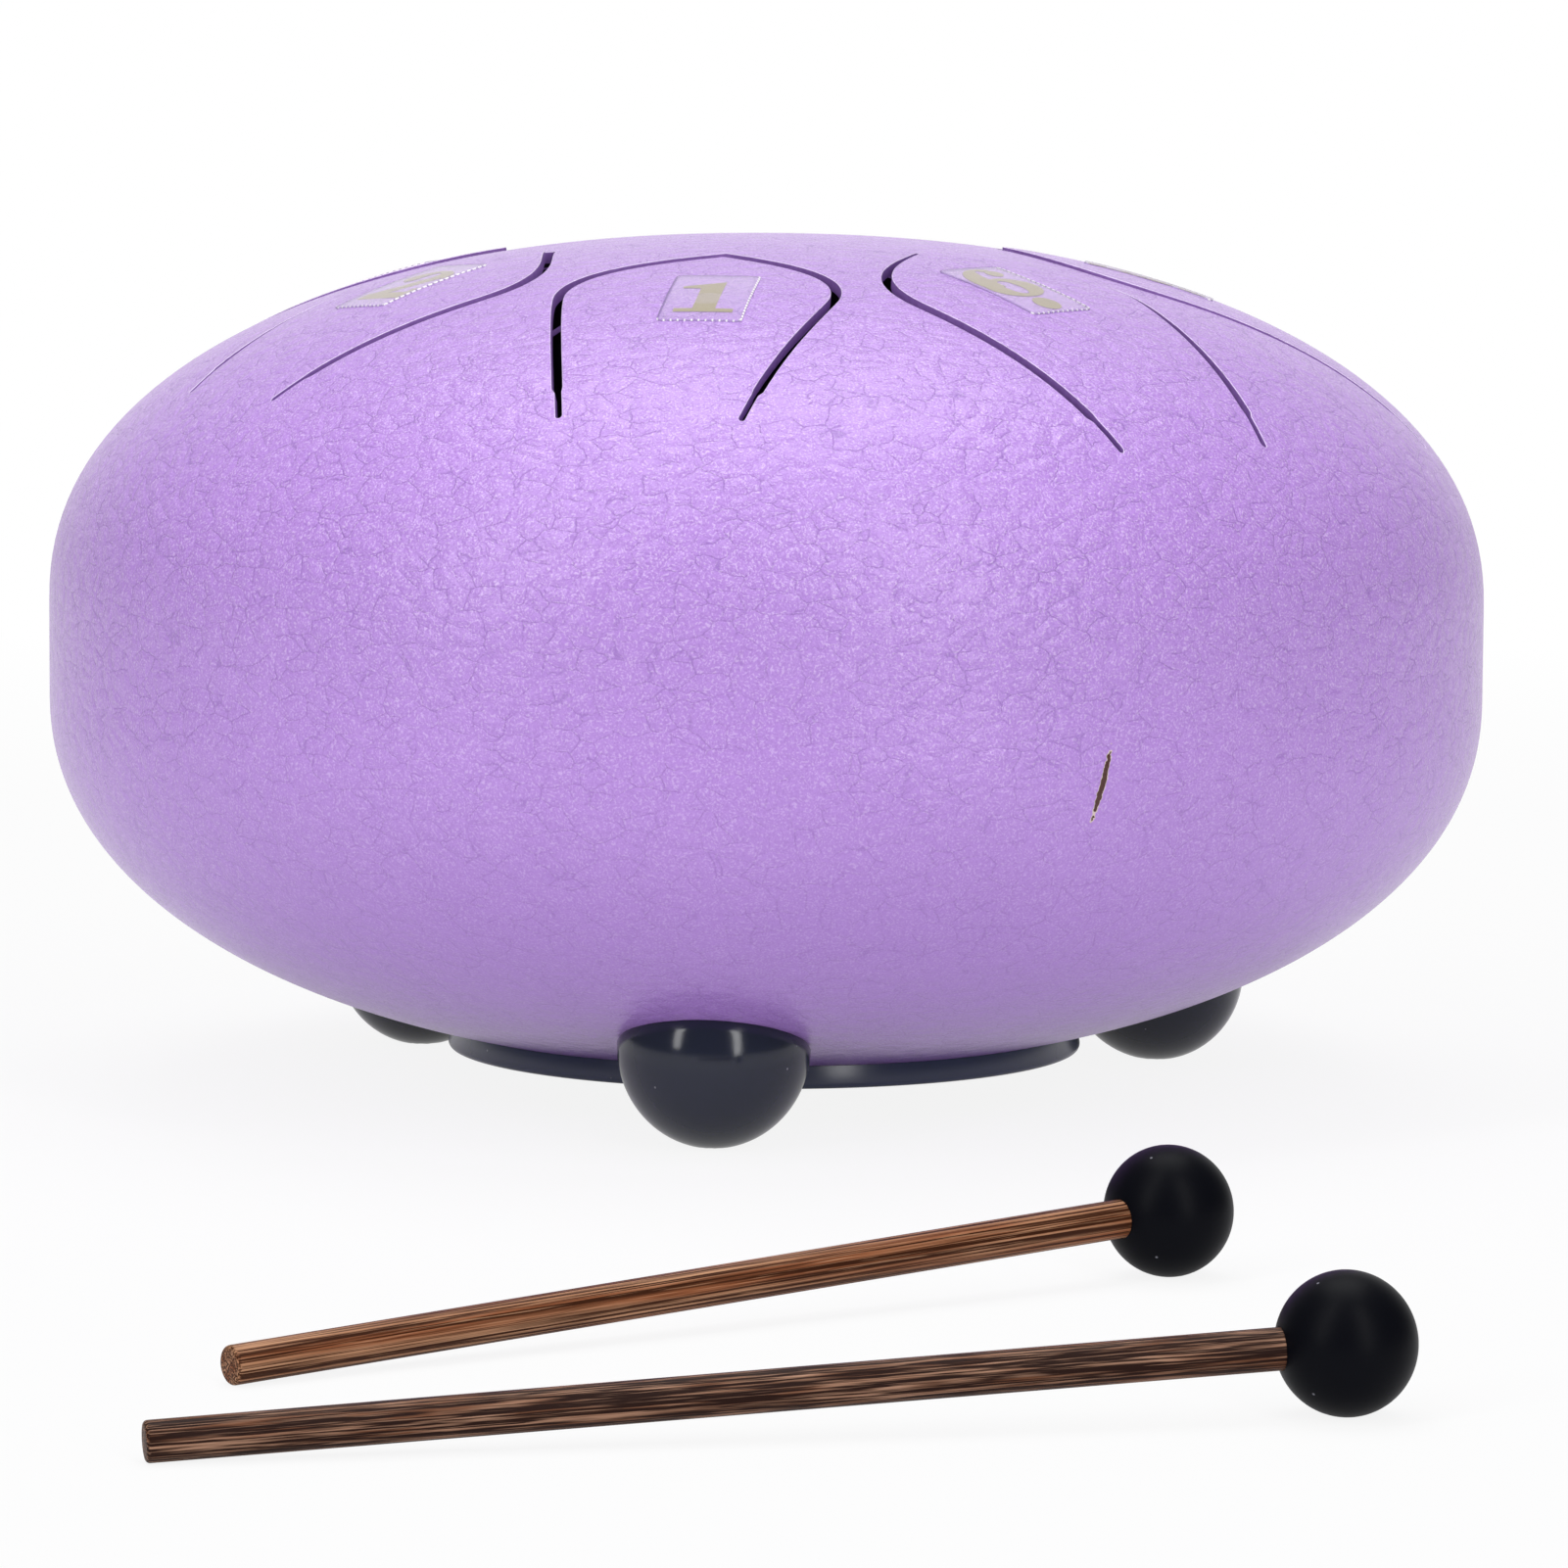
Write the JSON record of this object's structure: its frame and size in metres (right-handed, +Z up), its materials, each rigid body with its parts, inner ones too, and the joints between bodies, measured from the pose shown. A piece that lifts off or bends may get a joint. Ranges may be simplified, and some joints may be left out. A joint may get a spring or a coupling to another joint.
{
  "type": "tongue drum",
  "caption": "Small round steel tongue drum with petal tongues cut in its dome, on rubber feet, with a pair of ball-headed mallets.",
  "frame": {"origin": "on the drum's axis, at the level of the table that the feet stand on", "axes": "+Z up the drum's axis, -Y towards the player and the mallets, +X to the player's right"},
  "size_m": [0.152, 0.2874, 0.0904],
  "materials": {
    "lacquered_steel": "lilac pearl lacquer with a fine leather grain on pressed steel",
    "label_film": "clear film with a gold printed number",
    "grommet_rubber": "satin moulded rubber",
    "foot_rubber": "satin moulded rubber",
    "pad_adhesive": "double-sided adhesive pad",
    "red_wood": "reddish hardwood with straight grain",
    "dark_wood": "dark hardwood with short streaks",
    "head_rubber": "matte black rubber"
  },
  "bodies": {
    "drum": {"top_shell": "lacquered_steel", "bottom_shell": "lacquered_steel", "sound_hole_grommet": "grommet_rubber", "foot_front": "foot_rubber", "foot_right": "foot_rubber", "foot_left": "foot_rubber", "foot_pad_front": "pad_adhesive", "foot_pad_right": "pad_adhesive", "foot_pad_left": "pad_adhesive"},
    "tongue_low_5": {"tongue_low_5": "lacquered_steel", "label_low_5": "label_film"},
    "tongue_low_6": {"tongue_low_6": "lacquered_steel", "label_low_6": "label_film"},
    "tongue_1": {"tongue_1": "lacquered_steel", "label_1": "label_film"},
    "tongue_2": {"tongue_2": "lacquered_steel", "label_2": "label_film"},
    "tongue_3": {"tongue_3": "lacquered_steel", "label_3": "label_film"},
    "tongue_5": {"tongue_5": "lacquered_steel", "label_5": "label_film"},
    "tongue_6": {"tongue_6": "lacquered_steel", "label_6": "label_film"},
    "tongue_high_1": {"tongue_high_1": "lacquered_steel", "label_high_1": "label_film"},
    "mallet_1": {"mallet_1_stick": "red_wood", "mallet_1_head": "head_rubber"},
    "mallet_2": {"mallet_2_stick": "dark_wood", "mallet_2_head": "head_rubber"}
  },
  "joints": [
    {"name": "tongue_low_5_flex", "type": "hinge", "parent": "drum", "child": "tongue_low_5", "pos_m": [0.06882, -0.00325, 0.06914], "axis": [-0.0471, -0.9989, 0], "range_deg": [-1, 1], "stiffness_Nm_per_rad": 50},
    {"name": "tongue_low_6_flex", "type": "hinge", "parent": "drum", "child": "tongue_low_6", "pos_m": [0.0419, -0.05267, 0.07087], "axis": [-0.7826, -0.6225, 0], "range_deg": [-1, 1], "stiffness_Nm_per_rad": 50},
    {"name": "tongue_1_flex", "type": "hinge", "parent": "drum", "child": "tongue_1", "pos_m": [-0.01142, -0.06287, 0.0739], "axis": [-0.9839, 0.1788, 0], "range_deg": [-1, 1], "stiffness_Nm_per_rad": 50},
    {"name": "tongue_2_flex", "type": "hinge", "parent": "drum", "child": "tongue_2", "pos_m": [-0.05423, -0.03246, 0.07445], "axis": [-0.5135, 0.8581, 0], "range_deg": [-1, 1], "stiffness_Nm_per_rad": 50},
    {"name": "tongue_3_flex", "type": "hinge", "parent": "drum", "child": "tongue_3", "pos_m": [-0.0611, 0.01535, 0.0746], "axis": [0.2436, 0.9699, 0], "range_deg": [-1, 1], "stiffness_Nm_per_rad": 50},
    {"name": "tongue_5_flex", "type": "hinge", "parent": "drum", "child": "tongue_5", "pos_m": [-0.03558, 0.05138, 0.07497], "axis": [0.8221, 0.5693, 0], "range_deg": [-1, 1], "stiffness_Nm_per_rad": 50},
    {"name": "tongue_6_flex", "type": "hinge", "parent": "drum", "child": "tongue_6", "pos_m": [0.00702, 0.0616, 0.07533], "axis": [0.9936, -0.1132, 0], "range_deg": [-1, 1], "stiffness_Nm_per_rad": 50},
    {"name": "tongue_high_1_flex", "type": "hinge", "parent": "drum", "child": "tongue_high_1", "pos_m": [0.04534, 0.04126, 0.07582], "axis": [0.673, -0.7396, 0], "range_deg": [-1, 1], "stiffness_Nm_per_rad": 50},
    {"name": "mallet_1_lift", "type": "slide", "parent": "drum", "child": "mallet_1", "axis": [0, 0, 1], "range_m": [0, 0.12]},
    {"name": "mallet_2_lift", "type": "slide", "parent": "drum", "child": "mallet_2", "axis": [0, 0, 1], "range_m": [0, 0.12]}
  ]
}
